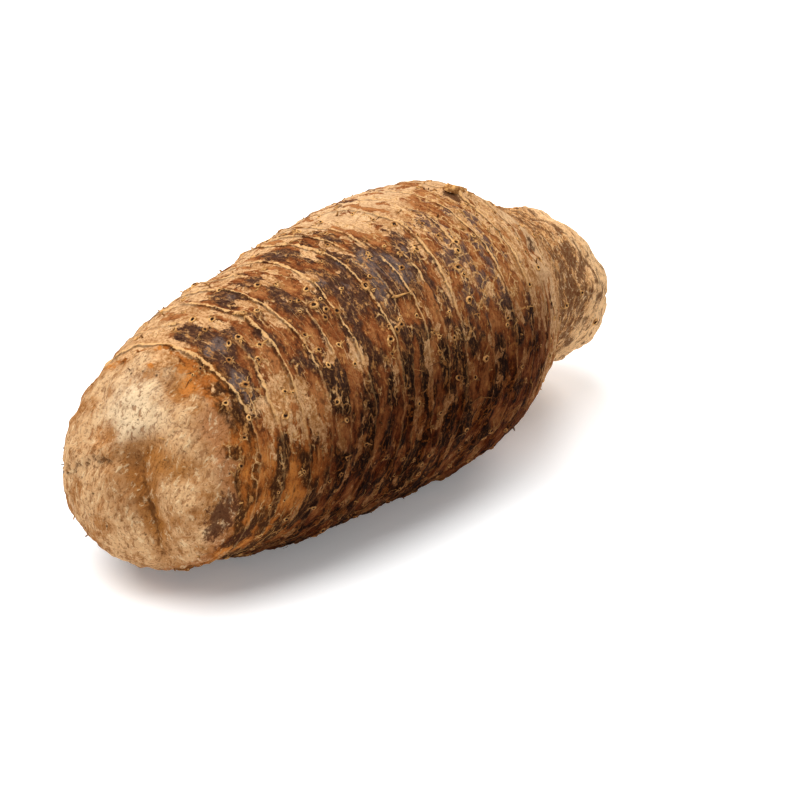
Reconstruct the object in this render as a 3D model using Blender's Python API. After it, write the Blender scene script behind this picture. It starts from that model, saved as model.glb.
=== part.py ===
"""A whole malanga corm lying on its belly, as one grown solid.

The blunt base end points to -X and the crown knob to +X, in metres, with +Z up. The surface is a sphere
mesh laid over a smooth body: one shape for the body's cross-sections, then the relief of its leaf-scar
rings, its root scars, its lobed base end and its crown.
"""

import bmesh
import bpy
import numpy as np

MM = 0.001

LENGTH = 221 * MM

# Cross-sections from the base end to the crown: place along, half width, half height, middle's y and z
STATIONS = MM * np.array(
    [
        (0, 27, 22, 6, 31),
        (12, 32, 28, 5, 34),
        (28, 37, 35, 4, 38),
        (50, 43, 42, 2, 41),
        (78, 46, 45, 0, 43),
        (108, 48, 47, -2, 45),
        (135, 50, 48, -3, 46),
        (155, 47, 46, -2, 46),
        (168, 42, 42, -1, 46),
        (181, 34, 33, -2, 44),
        (192, 32, 30, -3, 42),
        (203, 31, 29, -5, 39),
        (212, 30, 28, -6, 38),
        (221, 28, 27, -8, 37),
    ]
)

# Rounding of the two ends: how far it reaches in, and its power, where 2 is a plain ellipse
BASE_REACH, BASE_POWER = 22 * MM, 2.5
CROWN_REACH, CROWN_POWER = 21 * MM, 2.5

# The rings stand askew on the body: their tops lean this far towards the crown, per length of radius
LEAN_UP, LEAN_SIDE = 0.25, -0.05
LEAN_FADE = 26 * MM

# Leaf-scar rings: place along the body, and height of the ridge
RINGS = MM * np.array(
    [
        (26, 0.7),
        (34, 0.4),
        (42, 0.8),
        (50, 0.8),
        (58, 0.4),
        (67, 0.9),
        (80, 0.8),
        (86, 0.4),
        (93, 0.9),
        (100, 0.4),
        (108, 0.9),
        (119, 0.5),
        (130, 0.8),
        (142, 0.5),
        (153, 0.6),
        (166, 0.9),
        (176, 0.5),
        (187, 0.6),
        (197, 0.5),
        (207, 0.4),
    ]
)
RIDGE_WIDTH = 1.3 * MM
GUTTER_WIDTH = 1.6 * MM
GUTTER_SHARE = 0.5

ROOT_SCARS = 90
SCAR_HEIGHT = 0.9 * MM
SCAR_RADIUS = 2.8 * MM

# Swellings of the base end and, below zero, hollows: middle x, y and z, width, and height
BASE_LUMPS = MM * np.array(
    [
        (0, 6, 30, 15, 2.2),
        (7, -24, 38, 11, 2.6),
        (14, 5, 62, 9, 1.8),
        (28, -18, 66, 6, 1.2),
        (8, -5, 53, 7, -5.0),
        (11, -18, 49, 6, -2.2),
        (25, -6, 70, 6, -3.4),
        (25, -31, 46, 5, -1.6),
    ]
)
GROOVE_DEPTH, GROOVE_WIDTH = 4.4 * MM, 4.2 * MM
RIM_HEIGHT, RIM_WIDTH = 2.4 * MM, 3.5 * MM

# The same on the shoulder and neck: a bud scar's mound with the hole in it, and pits in the neck
CROWN_LUMPS = MM * np.array(
    [
        (159, -5, 91, 6, 2.4),
        (159, -5, 93, 2.5, -1.8),
        (169, -32, 72, 5, -3.4),
        (164, -22, 82, 4, -1.6),
        (166, -40, 62, 4, -1.8),
    ]
)

# Relief is raised straight away from a spine down the body's middle, which stops this short of each end
SPINE_END = 26 * MM

SEGMENTS = 52
ROWS = 108


def through_stations(x, column):
    """A smooth curve through one column of the stations, with each slope taken from its two neighbours."""
    places = STATIONS[:, 0]
    values = STATIONS[:, column]
    slopes = np.gradient(values, places)
    i = np.clip(np.searchsorted(places, x) - 1, 0, len(places) - 2)
    step = places[i + 1] - places[i]
    t = (x - places[i]) / step
    return (
        (2 * t**3 - 3 * t**2 + 1) * values[i]
        + (t**3 - 2 * t**2 + t) * step * slopes[i]
        + (3 * t**2 - 2 * t**3) * values[i + 1]
        + (t**3 - t**2) * step * slopes[i + 1]
    )


def end_round(distance, reach, power):
    """Share of the full radius at this distance from an end: 0 at the end, 1 from the reach on."""
    return (1 - np.clip(1 - distance / reach, 0, 1) ** power) ** (1 / power)


def section(x):
    """Half width, half height, and the middle's y and z, of the cross-section at x."""
    closing = end_round(x, BASE_REACH, BASE_POWER) * end_round(LENGTH - x, CROWN_REACH, CROWN_POWER)
    half_width = through_stations(x, 1) * closing
    half_height = through_stations(x, 2) * closing
    return half_width, half_height, through_stations(x, 3), through_stations(x, 4)


def fade_in(x, start, end):
    """0 before start, 1 after end, and smooth between."""
    t = np.clip((x - start) / (end - start), 0, 1)
    return t * t * (3 - 2 * t)


def hump(distance, width):
    """A bell shape, 1 in the middle."""
    return np.exp(-((distance / width) ** 2))


def body(along, around):
    """Points of the smooth body, where `along` is the ring coordinate and `around` the angle from +Y to +Z."""
    half_width, half_height, _, _ = section(along)
    upright = fade_in(along, 0, LEAN_FADE) * fade_in(LENGTH - along, 0, LEAN_FADE)
    lean = LEAN_SIDE * half_width * np.cos(around) + LEAN_UP * half_height * np.sin(around)
    x = along + upright * lean
    half_width, half_height, y, z = section(x)
    return np.stack([x, y + half_width * np.cos(around), z + half_height * np.sin(around)], axis=-1)


def ring_relief(along, around):
    """Each leaf scar is a thin ridge with a gutter on its crown side, uneven round the body."""
    relief = np.zeros_like(along)
    for number, (place, height) in enumerate(RINGS):
        wander = 0.5 * MM * np.sin(3 * around + 2.1 * number) + 0.4 * MM * np.sin(5 * around - 1.3 * number)
        strength = 0.75 + 0.25 * np.sin(2 * around + 1.7 * number)
        from_ridge = along - place - wander
        ridge = hump(from_ridge, RIDGE_WIDTH)
        gutter = hump(from_ridge - 1.6 * RIDGE_WIDTH, GUTTER_WIDTH)
        relief += height * strength * (ridge - GUTTER_SHARE * gutter)
    return relief


def lumps(x, y, z, table):
    """The sum of a table's swellings and hollows, each a bell shape in the distance from its middle."""
    relief = np.zeros_like(x)
    for middle_x, middle_y, middle_z, width, height in table:
        away = np.sqrt((x - middle_x) ** 2 + (y - middle_y) ** 2 + (z - middle_z) ** 2)
        relief += height * hump(away, width)
    return relief


def root_scar_relief(along, around, radius):
    """Low domes where roots grew, scattered all over the body from a fixed seed."""
    draw = np.random.default_rng(11)
    relief = np.zeros_like(along)
    for place, turn, size in zip(
        draw.uniform(30 * MM, 205 * MM, ROOT_SCARS),
        draw.uniform(-np.pi, np.pi, ROOT_SCARS),
        draw.uniform(0.7, 1.3, ROOT_SCARS),
    ):
        sideways = np.abs((around - turn + np.pi) % (2 * np.pi) - np.pi) * radius
        relief += SCAR_HEIGHT * size * hump(np.hypot(along - place, sideways), SCAR_RADIUS * size)
    return relief


def unevenness(along, around):
    """Broad swells that keep the body from being a turned shape."""
    swells = 0.6 * np.sin(2 * around + 1.1 + along / (24 * MM))
    swells += 0.5 * np.sin(3 * around - 0.7 - along / (33 * MM))
    swells += 0.35 * np.sin(5 * around + 0.4 + along / (11 * MM))
    return swells * MM * fade_in(along, 6 * MM, 40 * MM) * fade_in(LENGTH - along, 0, 20 * MM)


def base_end_relief(x, y, z):
    """The blunt end: its lumps, a groove that parts the two cheeks, and the torn rim over the hollow."""
    groove_y = -14 * MM + 18 * (z - 26 * MM) ** 2
    groove_run = fade_in(z, 8 * MM, 20 * MM) * (1 - fade_in(z, 46 * MM, 58 * MM))
    rim_z = 52 * MM - 0.5 * (y - 4 * MM)
    rim_run = fade_in(y, 0, 8 * MM) * (1 - fade_in(y, 18 * MM, 30 * MM))
    relief = RIM_HEIGHT * hump(z - rim_z, RIM_WIDTH) * rim_run
    relief -= GROOVE_DEPTH * hump(y - groove_y, GROOVE_WIDTH) * groove_run
    relief *= 1 - fade_in(x, 18 * MM, 34 * MM)
    return relief + lumps(x, y, z, BASE_LUMPS)


def crown_relief(x, y, z):
    """The lumps of the shoulder and neck, the knob's ribs, and the leaf bases round its tip."""
    relief = lumps(x, y, z, CROWN_LUMPS)
    turn = np.arctan2(z - 40 * MM, y + 5 * MM)
    ribs = np.sin(9 * turn + 0.6) + 0.6 * np.sin(14 * turn - 1.0)
    relief += 0.5 * MM * ribs * fade_in(x, 182 * MM, 198 * MM) * fade_in(LENGTH - x, 0, 12 * MM)
    from_tip = np.hypot(y + 5 * MM, z - 39 * MM)
    leaf_bases = 0.7 * MM * np.cos(2 * np.pi * from_tip / (7 * MM)) + 2.5 * MM * hump(from_tip, 7 * MM)
    relief += leaf_bases * fade_in(x, LENGTH - 12 * MM, LENGTH - 5 * MM)
    return relief


def skin(along, around):
    """The body with its relief, and with its belly cut flat at z = 0 where it rests."""
    points = body(along, around)
    x, y, z = np.moveaxis(points, -1, 0)
    spine_x = np.clip(x, SPINE_END, LENGTH - SPINE_END)
    _, _, spine_y, spine_z = section(spine_x)
    outward = points - np.stack([spine_x, spine_y, spine_z], axis=-1)
    radius = np.linalg.norm(outward, axis=-1)
    relief = ring_relief(along, around) + root_scar_relief(along, around, radius) + unevenness(along, around)
    relief += base_end_relief(x, y, z) + crown_relief(x, y, z)
    points += outward / radius[..., None] * relief[..., None]
    points[..., 2] = np.maximum(points[..., 2], 0)
    return points


def row_places(rows):
    """Ring coordinates of the mesh's rows from the base end to the crown, closest together on the rings."""
    along = np.linspace(0, LENGTH, 6000)
    half_width, half_height, _, _ = section(along)
    profile = np.hypot(np.diff(along), np.diff((half_width + half_height) / 2))
    middle = (along[1:] + along[:-1]) / 2
    density = 1 + sum(3.2 * hump(middle - place - 0.8 * RIDGE_WIDTH, 2.4 * MM) for place, _ in RINGS)
    density += 1 - fade_in(middle, 0, 30 * MM)
    density += 1.5 * fade_in(middle, LENGTH - 14 * MM, LENGTH - 6 * MM)
    travelled = np.concatenate([[0], np.cumsum(profile * density)])
    return np.interp(np.linspace(0, travelled[-1], rows + 1), travelled, along)


def skin_material():
    material = bpy.data.materials.new("corm_skin")
    material.use_nodes = True
    shader = material.node_tree.nodes["Principled BSDF"]
    shader.inputs["Base Color"].default_value = (0.26, 0.135, 0.06, 1)
    shader.inputs["Roughness"].default_value = 0.8
    shader.inputs["Metallic"].default_value = 0
    return material


def make_corm():
    """A sphere's rows become the rows of the skin, and its segments turn round the long axis."""
    shape = bmesh.new()
    bmesh.ops.create_uvsphere(shape, u_segments=SEGMENTS, v_segments=ROWS, radius=1)
    mesh = bpy.data.meshes.new("corm")
    shape.to_mesh(mesh)
    shape.free()
    sphere = np.empty(len(mesh.vertices) * 3)
    mesh.vertices.foreach_get("co", sphere)
    sphere = sphere.reshape(-1, 3)
    from_base = np.arccos(np.clip(-sphere[:, 2], -1, 1)) / np.pi
    along = np.interp(from_base * ROWS, np.arange(ROWS + 1), row_places(ROWS))
    around = np.arctan2(sphere[:, 1], sphere[:, 0])
    points = skin(along, around)
    points[:, 0] -= (points[:, 0].min() + points[:, 0].max()) / 2
    points[:, 1] -= (points[:, 1].min() + points[:, 1].max()) / 2
    mesh.vertices.foreach_set("co", points.ravel())
    mesh.shade_smooth()
    mesh.materials.append(skin_material())
    mesh.update()
    return bpy.data.objects.new("corm", mesh)


for thing in list(bpy.data.objects):
    bpy.data.objects.remove(thing, do_unlink=True)

malanga = bpy.data.collections.new("malanga")
bpy.context.scene.collection.children.link(malanga)
malanga.objects.link(make_corm())
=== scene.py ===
import bpy
import numpy as np
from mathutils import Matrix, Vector


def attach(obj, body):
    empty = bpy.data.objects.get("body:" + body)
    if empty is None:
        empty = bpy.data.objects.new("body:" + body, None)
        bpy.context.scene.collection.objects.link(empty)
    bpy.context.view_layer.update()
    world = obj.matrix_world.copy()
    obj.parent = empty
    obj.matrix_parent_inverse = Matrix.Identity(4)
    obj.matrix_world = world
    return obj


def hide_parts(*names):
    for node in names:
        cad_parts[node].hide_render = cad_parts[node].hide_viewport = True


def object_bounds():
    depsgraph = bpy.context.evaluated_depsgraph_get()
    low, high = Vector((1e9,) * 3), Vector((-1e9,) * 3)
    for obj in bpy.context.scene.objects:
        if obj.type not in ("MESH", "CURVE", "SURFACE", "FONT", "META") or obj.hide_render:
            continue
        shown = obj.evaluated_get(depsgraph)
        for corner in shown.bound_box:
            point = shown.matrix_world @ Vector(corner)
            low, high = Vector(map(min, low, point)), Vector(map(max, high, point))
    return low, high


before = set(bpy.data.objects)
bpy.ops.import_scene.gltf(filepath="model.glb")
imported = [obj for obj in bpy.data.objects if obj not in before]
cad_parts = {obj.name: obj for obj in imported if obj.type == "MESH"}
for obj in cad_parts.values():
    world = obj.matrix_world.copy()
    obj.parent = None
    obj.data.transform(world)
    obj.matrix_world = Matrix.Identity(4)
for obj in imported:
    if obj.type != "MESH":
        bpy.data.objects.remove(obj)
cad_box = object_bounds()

# The body of the corm: a swollen stem of starchy flesh that grew upright in the ground and now lies on its
# belly, blunt base end towards -X and crown towards +X. It is a run of ellipses, askew like its rings.
MM = 0.001
LENGTH = 221

# The bare body starts inside the frame's box, which the base end's swellings reach, and to one side
BASE_INSET, SIDE_SHIFT = 2.12 * MM, 0.0026
BASE_END = np.array((cad_box[0][0] + BASE_INSET, SIDE_SHIFT, 0))

# Place along the body, half width, half height, and the middle's y and z, in millimetres
STATIONS = np.array([
    (0, 27, 22, 6, 31),
    (12, 32, 28, 5, 34),
    (28, 37, 35, 4, 38),
    (50, 43, 42, 2, 41),
    (78, 46, 45, 0, 43),
    (108, 48, 47, -2, 45),
    (135, 50, 48, -3, 46),
    (155, 47, 46, -2, 46),
    (168, 42, 42, -1, 46),
    (181, 34, 33, -2, 44),
    (192, 32, 30, -3, 42),
    (203, 31, 29, -5, 39),
    (212, 30, 28, -6, 38),
    (221, 28, 27, -8, 37),
], float)

# How far from its tip each end starts to round off, and how bluntly
BASE_REACH, BASE_POWER = 22, 2.5
CROWN_REACH, CROWN_POWER = 21, 2.5

# The rings' lean, as a share of the half height and of the half width, and how near an end it fades out
LEAN_UP, LEAN_SIDE, LEAN_FADE = 0.25, -0.05, 26

# Broad swells: height, times round, phase and the millimetres along in which each winds by a radian; and
# how far from each end they fade in
SWELLS = [(0.6, 2, 1.1, 24), (0.5, 3, -0.7, -33), (0.35, 5, 0.4, 11)]
SWELLS_FROM_BASE, SWELLS_FROM_TIP = (6, 40), (0, 20)


def through_stations(x, column):
    """A smooth curve through one column of the stations, each slope taken from its two neighbours."""
    places, values = STATIONS[:, 0], STATIONS[:, column]
    slopes = np.gradient(values, places)
    i = np.clip(np.searchsorted(places, x) - 1, 0, len(places) - 2)
    step = places[i + 1] - places[i]
    t = (x - places[i]) / step
    return (
        (2 * t**3 - 3 * t**2 + 1) * values[i]
        + (t**3 - 2 * t**2 + t) * step * slopes[i]
        + (3 * t**2 - 2 * t**3) * values[i + 1]
        + (t**3 - t**2) * step * slopes[i + 1]
    )


def end_round(distance, reach, power):
    """Share of the full radius at a distance from an end: one minus a power, rooted by the same power."""
    return (1 - np.clip(1 - distance / reach, 0, 1) ** power) ** (1 / power)


def section(x):
    """Half width, half height, and the middle's y and z, of the cross-section at x."""
    closing = end_round(x, BASE_REACH, BASE_POWER) * end_round(LENGTH - x, CROWN_REACH, CROWN_POWER)
    half_width = through_stations(x, 1) * closing
    half_height = through_stations(x, 2) * closing
    return half_width, half_height, through_stations(x, 3), through_stations(x, 4)


def fade_in(x, start, end):
    """0 before start, 1 after end, and a smooth step between."""
    t = np.clip((x - start) / (end - start), 0, 1)
    return t * t * (3 - 2 * t)


def smooth_body(along, around):
    """Points of the bare body: ellipses of section(x), where x leans off `along` with the rings' slant."""
    half_width, half_height, _, _ = section(along)
    upright = fade_in(along, 0, LEAN_FADE) * fade_in(LENGTH - along, 0, LEAN_FADE)
    lean = LEAN_SIDE * half_width * np.cos(around) + LEAN_UP * half_height * np.sin(around)
    x = along + upright * lean
    half_width, half_height, y, z = section(x)
    return np.stack([x, y + half_width * np.cos(around), z + half_height * np.sin(around)], axis=-1)


def unevenness(along, around):
    """The sum of the swells, each a sine round the body that winds along it."""
    total = np.zeros_like(along)
    for height, times, phase, winding in SWELLS:
        total += height * np.sin(times * around + phase + along / winding)
    return total * fade_in(along, *SWELLS_FROM_BASE) * fade_in(LENGTH - along, *SWELLS_FROM_TIP)


# The leaf-scar rings: where each old leaf stood there is a thin corky lip round the body, with a slight
# gutter beside it. None runs quite true, and each fades in and out on its way round.
# Place along the body and height, in millimetres
RINGS = np.array([
    (26, 0.7), (34, 0.4), (42, 0.8), (50, 0.8), (58, 0.4), (67, 0.9), (80, 0.8), (86, 0.4), (93, 0.9),
    (100, 0.4), (108, 0.9), (119, 0.5), (130, 0.8), (142, 0.5), (153, 0.6), (166, 0.9), (176, 0.5),
    (187, 0.6), (197, 0.5), (207, 0.4),
])

# How a ring wanders off its place: millimetres, times round, and phase for each step of its number
WANDERS = [(0.5, 3, 2.1), (0.4, 5, -1.3)]

# A ring's low swell and the sharp lip on it: share of its height, width, and the depth as a share, way off
# towards the crown and width of the gutter beside it
RING_LINES = [(0.3, 2.0, 0.5, 2.6, 2.0), (0.5, 0.55, 0.6, 1.2, 0.7)]


def ring_edge(number, around):
    """Where a ring lies along the body: its place plus two sines whose phase goes by its number."""
    wander = sum(way * np.sin(times * around + phase * number) for way, times, phase in WANDERS)
    return RINGS[number, 0] + wander


def ring_strength(number, around):
    """How strongly a ring shows, from a half to one."""
    return 0.75 + 0.25 * np.sin(2 * around + 1.7 * number)


def ring_values(along, around):
    """Rings passed, in whole and part; the way off the nearest ring; and how well that one shows."""
    first, last = np.zeros_like(along), np.full_like(along, LENGTH)
    edges = [first, *(ring_edge(number, around) for number in range(len(RINGS))), last]
    passed = sum(np.clip((along - a) / (b - a), 0, 1) for a, b in zip(edges, edges[1:]))
    off_ring = np.full_like(along, LENGTH)
    shows = np.zeros_like(along)
    for number, (_, height) in enumerate(RINGS):
        off_this = along - edges[number + 1]
        nearer = np.abs(off_this) < np.abs(off_ring)
        shows = np.where(nearer, height * ring_strength(number, around), shows)
        off_ring = np.where(nearer, off_this, off_ring)
    return passed, off_ring, shows


def hump(distance, width):
    """A bell shape, 1 in the middle."""
    return np.exp(-((distance / width) ** 2))


def ring_relief(along, around):
    """The sum of each ring's swell and lip: a bell across the ring, less a lower bell for its gutter."""
    relief = np.zeros_like(along)
    for number, (_, height) in enumerate(RINGS):
        off_ring = along - ring_edge(number, around)
        lines = sum(
            share * (hump(off_ring, width) - depth * hump(off_ring - way, gutter_width))
            for share, width, depth, way, gutter_width in RING_LINES
        )
        relief += height * ring_strength(number, around) * lines
    return relief


# The skin's layers: a dark papery outside, rust-coloured bark under it, and tan cork under that. The paper
# is kept in plates that stop at the rings, and the cork is bared on the base end and in worn patches.
# Uneven numbers that scatter a sine's values, the seeds from axis to axis, and the spread of one octave
SCATTER, SEED_STEP, SCATTER_SIZE = np.array([12.9898, 78.233, 37.719]), 13.7, 43758.5453
AXIS_SEEDS, NOISE_SPREAD = 31, 0.2


def lattice(cell, seed):
    """A number from 0 to 1 for each whole-number cell, from a sine of its three coordinates."""
    mixed = np.sin(cell @ SCATTER + SEED_STEP * seed) * SCATTER_SIZE
    return mixed - np.floor(mixed)


def noise(points, seed):
    """Smooth random values about 0: each corner of a unit cell has a random slope, and the eight blend."""
    cell = np.floor(points)
    offset = points - cell
    ease = offset**3 * (offset * (offset * 6 - 15) + 10)
    total = np.zeros(points.shape[:-1])
    for corner in np.ndindex(2, 2, 2):
        weight = np.prod(np.where(corner, ease, 1 - ease), axis=-1)
        slopes = (2 * lattice(cell + corner, seed + AXIS_SEEDS * axis) - 1 for axis in range(3))
        rises = (slope * (offset[..., axis] - corner[axis]) for axis, slope in enumerate(slopes))
        total += weight * sum(rises)
    return total


def cloud(points, octaves, seed, roughness=0.55):
    """Noise in octaves, each half the size of the last and weaker, scaled so that its spread is about 1."""
    strengths = roughness ** np.arange(octaves)
    layers = [strength * noise(points * 2.0**n, seed + n) for n, strength in enumerate(strengths)]
    return sum(layers) / np.sqrt((strengths**2).sum()) / NOISE_SPREAD


def patches(along, around, spots):
    """A sum of soft spots, each given as place along, turn in degrees, length, width and strength."""
    total = np.zeros_like(along)
    half_width, half_height, _, _ = section(along)
    for place, turn, length, width, strength in spots:
        way_round = np.radians((np.degrees(around) - turn + 180) % 360 - 180)
        across = way_round * (half_width + half_height) / 2
        total += strength * np.exp(-(((along - place) / length) ** 4) - (across / width) ** 4)
    return total


def between(x, start, end):
    """1 between two fades, each given as where it starts and stops, and 0 outside them."""
    return fade_in(x, *start) * (1 - fade_in(x, *end))


# Where the paper is whole, in millimetres along and degrees round: on the flanks, most of all the lower one
PAPER_KEPT = [
    (31, 90, 4, 12, 1.2),
    (30, 112, 5, 8, 1.6),
    (28, 129, 4, 6, 2.4),
    (46, 84, 4, 7, 1.0),
    (55, 86, 3, 6, 1.4),
    (47, 128, 4, 8, 1.0),
    (56, 116, 4, 7, 1.2),
    (56, 148, 3, 8, 1.2),
    (72, 86, 4, 8, 1.4),
    (88, 85, 4, 8, 1.4),
    (72, 116, 9, 9, 1.2),
    (89, 118, 8, 11, 3.2),
    (103, 114, 4, 8, 1.0),
    (34, 165, 2, 8, 3.0),
    (86, 152, 8, 10, 1.4),
    (124, 130, 7, 10, 0.5),
    (16, 181, 3.5, 7, 2.6),
    (24, 200, 5, 4, 1.6),
    (144, 97, 3, 4, 2.6),
    (72, 265, 20, 24, 0.5),
    (110, 300, 18, 26, 0.8),
    (60, 345, 16, 20, 0.7),
    (100, 20, 20, 18, 0.6),
]

# Where the cork is bared: worn spots, pale strips beside rings, the bleached top, the neck and the tip
CORK_BARED = [
    (38, 148, 9, 10, 2.6),
    (66, 143, 4, 4, 2.2),
    (93, 155, 3, 5, 2.2),
    (62, 93, 3, 5, 1.6),
    (38, 90, 3, 6, 1.4),
    (100, 88, 3, 8, 1.6),
    (107, 120, 2.5, 24, 1.5),
    (60, 58, 36, 18, 1.2),
    (122, 74, 30, 22, 1.6),
    (150, 110, 10, 46, 1.7),
    (168, 110, 9, 90, 1.8),
    (212, 110, 12, 90, 2.6),
    (26, 62, 9, 13, 2.4),
    (45, 250, 14, 12, 1.0),
    (88, 330, 10, 12, 1.2),
    (130, 10, 12, 16, 1.2),
]

# The flank, in degrees round and millimetres along, and the crown; the sizes of the patterns that wear the
# paper and the cork, and their stretch; and how far they are thrown from one band to the next
FLANK_STARTS, FLANK_ENDS, FLANK_STOPS = (92, 125), (300, 350), (110, 140)
CROWN_STARTS = (134, 150)
PAPER_SIZE, CORK_SIZE, WEAR_STRETCH = 12, 9, 2.2
BAND_THROW = np.array([7.31, 3.17, 5.73])

# Where roots broke away: the larger on low domes all over the body, the finer mostly beside the rings. How
# many there are of each, their places, their sizes, and the height and width of the mounds they stand on
DOME_SCARS, DOME_PLACES, DOME_SIZES = 90, (30, 205), (0.7, 1.3)
DOME_CRATER, DOME_HEIGHT, DOME_WIDTH = 0.8, 0.9, 2.8
FINE_SCARS, FINE_PLACES, FINE_RADII = 330, (24, 176), (0.4, 0.85)
FINE_HEIGHT, FINE_WIDTH = 0.3, 1.6
RINGED_SHARE, SCARRED_RINGS, BEFORE_RING = 0.6, 16, (1.2, 4.5)

# The plainest ones, the first of which is the bud's: place along, turn in degrees, crater radius
PLAIN_SCARS = np.array([
    (143, 98, 2.6), (26, 141, 0.7), (29, 128, 1.0), (30, 114, 0.8), (33, 94, 0.7), (33, 108, 0.8),
    (36, 122, 0.9), (39, 117, 0.8), (52, 124, 0.8), (58, 98, 0.7), (61, 115, 1.1), (61, 134, 0.7),
    (66, 122, 0.9), (68, 106, 0.9), (80, 119, 1.1), (82, 140, 0.9), (95, 120, 0.8), (105, 116, 0.9),
    (113, 143, 1.0), (114, 130, 1.1), (119, 121, 1.0),
])
PLAIN_HEIGHT, PLAIN_WIDTH, PLAIN_HALO = 0.5, 2, 0.5

# How far off a scar tells; and its halo's and torn rim's widths, as a fixed part and times its radius
SCAR_REACH = 9
HALO_PAST, HALO_WIDTH = 1.6, 2
TORN_PAST, TORN_WIDTH = 0.8, 1.3


def scattered_scars():
    """Place along, turn, crater radius, mound's height and width, and halo of bared cork, for each scar."""
    draw = np.random.default_rng(11)
    places, turns = draw.uniform(*DOME_PLACES, DOME_SCARS), draw.uniform(-np.pi, np.pi, DOME_SCARS)
    sizes = draw.uniform(*DOME_SIZES, DOME_SCARS)
    halos = draw.random(DOME_SCARS)
    domes = [places, turns, DOME_CRATER * sizes, DOME_HEIGHT * sizes, DOME_WIDTH * sizes, halos]
    loose = draw.uniform(*FINE_PLACES, FINE_SCARS)
    beside_ring = draw.choice(RINGS[:SCARRED_RINGS, 0], FINE_SCARS) - draw.uniform(*BEFORE_RING, FINE_SCARS)
    places = np.where(draw.random(FINE_SCARS) < RINGED_SHARE, beside_ring, loose)
    turns = draw.uniform(-np.pi, np.pi, FINE_SCARS)
    radii = draw.uniform(*FINE_RADII, FINE_SCARS)
    halos = draw.random(FINE_SCARS) ** 2
    fine = [places, turns, radii, FINE_HEIGHT, FINE_WIDTH * radii, halos]
    places, turns, radii = PLAIN_SCARS.T
    plain = [places, np.radians(turns), radii, PLAIN_HEIGHT, PLAIN_WIDTH * radii, PLAIN_HALO]
    return np.concatenate([np.stack(np.broadcast_arrays(*kind), axis=-1) for kind in (domes, fine, plain)])


SCARS = scattered_scars()


def scar_values(along, around):
    """Sums of each scar's halo of bared cork and its mound, and how torn the skin is at the nearest."""
    halo, mound, nearness = np.zeros((3, *along.shape))
    half_width, half_height, _, _ = section(along)
    radius = (half_width + half_height) / 2
    for place, turn, size, height, width, strength in SCARS:
        near = np.abs(along[:, 0] - place) < SCAR_REACH
        across = ((around[near] - turn + np.pi) % (2 * np.pi) - np.pi) * radius[near]
        away = np.hypot(along[near] - place, across)
        halo[near] += strength * hump(away, HALO_PAST + HALO_WIDTH * size)
        mound[near] += height * hump(away, width)
        torn = (0.3 + 0.7 * strength) * hump(away, TORN_PAST + TORN_WIDTH * size)
        nearness[near] = np.maximum(nearness[near], torn)
    return halo, mound, nearness


def running_round(along, points, stretch):
    """Points whose x is the place along times a stretch, so that noise at them runs round the body."""
    return np.stack([stretch * along, points[..., 1], points[..., 2]], axis=-1)


def skin_wear(along, around, points, passed):
    """How whole the paper is and how bare the cork: noise about 0, shifted from band to band, and spots."""
    stretched = running_round(along, points, WEAR_STRETCH)
    band = np.floor(passed)[..., None] * BAND_THROW
    kept, bared = patches(along, around, PAPER_KEPT), patches(along, around, CORK_BARED)
    turn = np.degrees(around) % 360
    flank = between(turn, FLANK_STARTS, FLANK_ENDS) * (1 - fade_in(along, *FLANK_STOPS))
    crown = fade_in(along, *CROWN_STARTS)
    paper = cloud(stretched / PAPER_SIZE + band, 4, seed=3)
    paper = paper + kept - 0.6 * bared - 0.6 * crown + 0.35 * flank
    cork = cloud(stretched / CORK_SIZE + 0.5 * band, 4, seed=50)
    cork = cork + bared - 0.8 * kept - 0.5 * flank
    return paper, cork


# The blunt base end, where the corm broke from its parent: two smooth cheeks parted by a groove, a hollow
# over them with a torn rim, and a smaller hollow on the shoulder. It is bare tan cork.
# Swellings and, below zero, hollows, in millimetres: middle x, y and z, width, and height
BASE_LUMPS = [
    (0, 6, 30, 15, 2.2),
    (7, -24, 38, 11, 2.6),
    (14, 5, 62, 9, 1.8),
    (28, -18, 66, 6, 1.2),
    (8, -5, 53, 7, -5.0),
    (11, -18, 49, 6, -2.2),
    (25, -6, 70, 6, -3.4),
    (25, -31, 46, 5, -1.6),
]
END_STOPS = (18, 34)

# The groove bends about its middle as z squared. It is deeper higher up, with a crease in its floor that is
# plainest at one height
GROOVE_Y, GROOVE_BEND, GROOVE_MIDDLE = -14, 0.018, 26
GROOVE_STARTS, GROOVE_ENDS, GROOVE_DEEPENS = (8, 20), (46, 58), (20, 34)
GROOVE_DEPTH, EXTRA_DEPTH, GROOVE_WIDTH = 2.4, 1.4, 4.4
CREASE_DEPTH, CREASE_WIDTH, CREASE_Z, CREASE_LENGTH = 1.4, 1.2, 36, 9

# The torn rim slopes down across the end, with a crease under it
RIM_Z, RIM_SLOPE, RIM_Y = 52, 0.5, 4
RIM_STARTS, RIM_ENDS = (0, 8), (18, 30)
RIM_HEIGHT, RIM_WIDTH = 2.4, 3.0
RIM_CREASE, RIM_CREASE_BELOW, RIM_CREASE_WIDTH = 0.8, 2.8, 0.9


def lumps(x, y, z, table):
    """The sum of a table's swellings and hollows, each a bell shape in the distance from its middle."""
    relief = np.zeros_like(x)
    for middle_x, middle_y, middle_z, width, height in table:
        away = np.sqrt((x - middle_x) ** 2 + (y - middle_y) ** 2 + (z - middle_z) ** 2)
        relief += height * hump(away, width)
    return relief


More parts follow.
